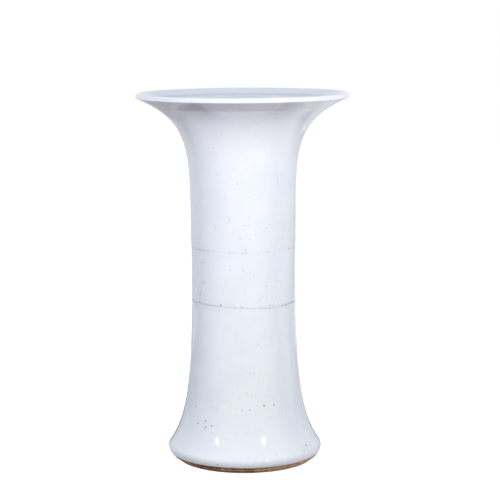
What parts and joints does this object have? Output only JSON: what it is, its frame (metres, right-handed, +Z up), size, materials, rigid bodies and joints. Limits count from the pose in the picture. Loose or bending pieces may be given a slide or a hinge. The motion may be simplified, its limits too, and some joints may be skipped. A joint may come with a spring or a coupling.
{
  "type": "bouquet vase",
  "caption": "Tall white glazed porcelain bouquet vase with a wide trumpet mouth, a straight seamed waist and a bell foot on a bare clay ring.",
  "frame": {"origin": "centre of the foot, on the surface that the vase stands on", "axes": "+Z up along the axis that the vase was turned on, +X and +Y level, with the picture taken from -Y"},
  "size_m": [0.33, 0.33, 0.5731],
  "materials": {
    "white_glaze": "glossy white glaze with a cool tint and scattered iron specks",
    "bare_clay": "unglazed brown biscuit, matt and mottled",
    "joint_slip": "clay slip in the joints, under the same white glaze where it shows"
  },
  "bodies": {
    "root": {"trumpet_section": "white_glaze", "waist_section": "white_glaze", "foot_section": "white_glaze", "floor_disc": "white_glaze", "floor_corner_coil": "white_glaze", "foot_ring": "bare_clay", "upper_joint_slip": "joint_slip", "lower_joint_slip": "joint_slip", "floor_joint_slip": "joint_slip", "foot_ring_slip": "joint_slip"}
  },
  "joints": []
}
